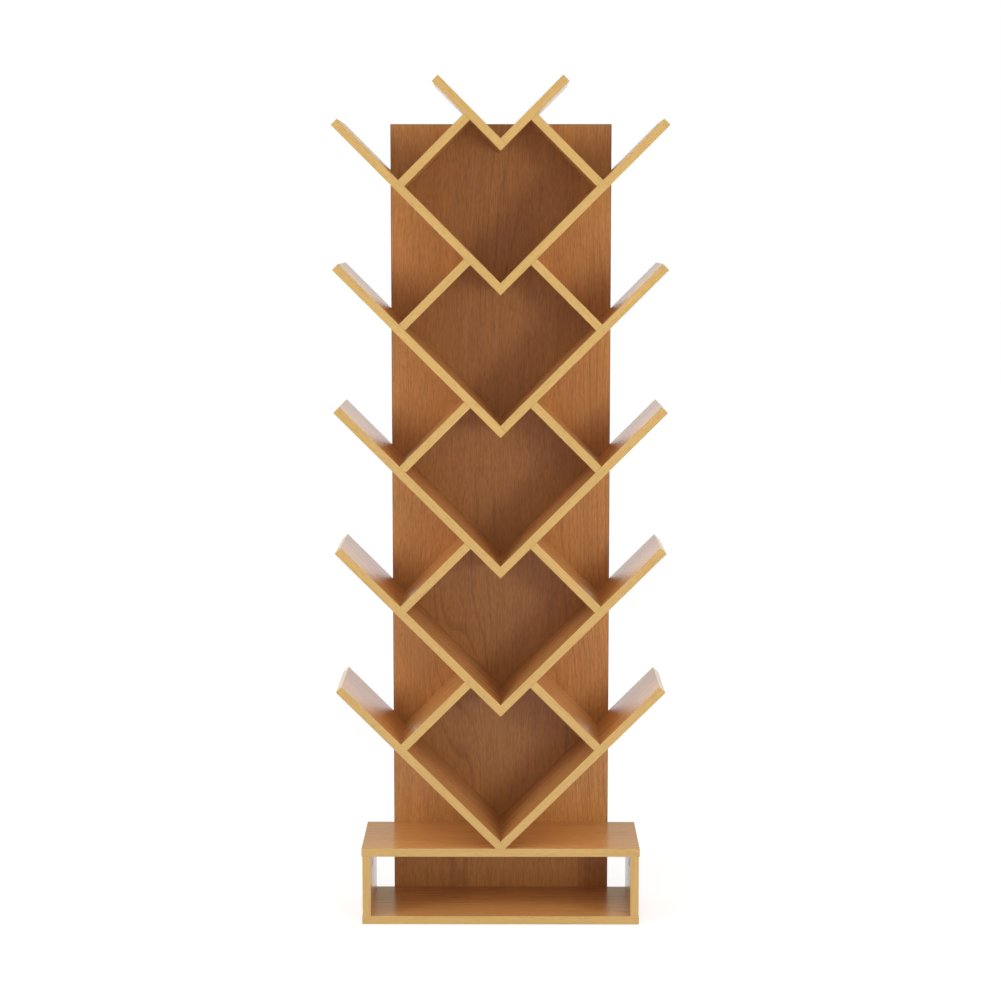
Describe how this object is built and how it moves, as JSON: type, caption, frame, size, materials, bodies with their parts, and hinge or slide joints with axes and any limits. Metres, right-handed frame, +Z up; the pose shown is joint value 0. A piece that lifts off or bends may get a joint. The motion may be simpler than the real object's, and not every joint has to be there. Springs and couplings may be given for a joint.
{
  "type": "shelving unit",
  "caption": "Tall free-standing shelving unit of stacked V-shaped shelves with short dividers, which leave heart-shaped cells, on a low open base box.",
  "frame": {"origin": "on the floor, below the middle of the unit's bounding box", "axes": "+Z up, +X to the right seen from the front, +Y from the front edges to the back panel"},
  "size_m": [0.5868, 0.2, 1.5082],
  "materials": {
    "board_face": "satin brown oak woodgrain",
    "panel_face": "satin brown oak woodgrain, grain upright",
    "oak_band": "satin light oak edge band",
    "panel_band": "satin dark brown edge band",
    "dowel_wood": "plain beech",
    "steel": "zinc-plated",
    "zinc": "cast zinc, satin grey"
  },
  "bodies": {
    "root": {"back_panel": "panel_face", "back_panel_bands": "panel_band", "back_panel_screws": "steel", "base_bottom": "board_face", "base_bottom_bands": "oak_band", "base_dowels": "dowel_wood", "base_screws": "steel", "base_side_bands": "oak_band", "base_side_left": "board_face", "base_side_right": "board_face", "base_top": "board_face", "base_top_bands": "oak_band", "cam_bolts": "steel", "cam_locks": "zinc", "divider_1_left": "board_face", "divider_1_right": "board_face", "divider_2_left": "board_face", "divider_2_right": "board_face", "divider_3_left": "board_face", "divider_3_right": "board_face", "divider_4_left": "board_face", "divider_4_right": "board_face", "divider_5_left": "board_face", "divider_5_right": "board_face", "divider_dowels": "dowel_wood", "divider_left_bands": "oak_band", "divider_right_bands": "oak_band", "divider_screws": "steel", "foot_screws": "steel", "v_corner_screws": "steel", "v_shelf_1_left": "board_face", "v_shelf_1_left_bands": "oak_band", "v_shelf_1_right": "board_face", "v_shelf_1_right_bands": "oak_band", "v_shelf_2_left": "board_face", "v_shelf_2_left_bands": "oak_band", "v_shelf_2_right": "board_face", "v_shelf_2_right_bands": "oak_band", "v_shelf_3_left": "board_face", "v_shelf_3_left_bands": "oak_band", "v_shelf_3_right": "board_face", "v_shelf_3_right_bands": "oak_band", "v_shelf_4_left": "board_face", "v_shelf_4_left_bands": "oak_band", "v_shelf_4_right": "board_face", "v_shelf_4_right_bands": "oak_band", "v_shelf_5_left": "board_face", "v_shelf_5_left_bands": "oak_band", "v_shelf_5_right": "board_face", "v_shelf_5_right_bands": "oak_band", "v_shelf_6_left": "board_face", "v_shelf_6_left_bands": "oak_band", "v_shelf_6_right": "board_face", "v_shelf_6_right_bands": "oak_band"}
  },
  "joints": []
}
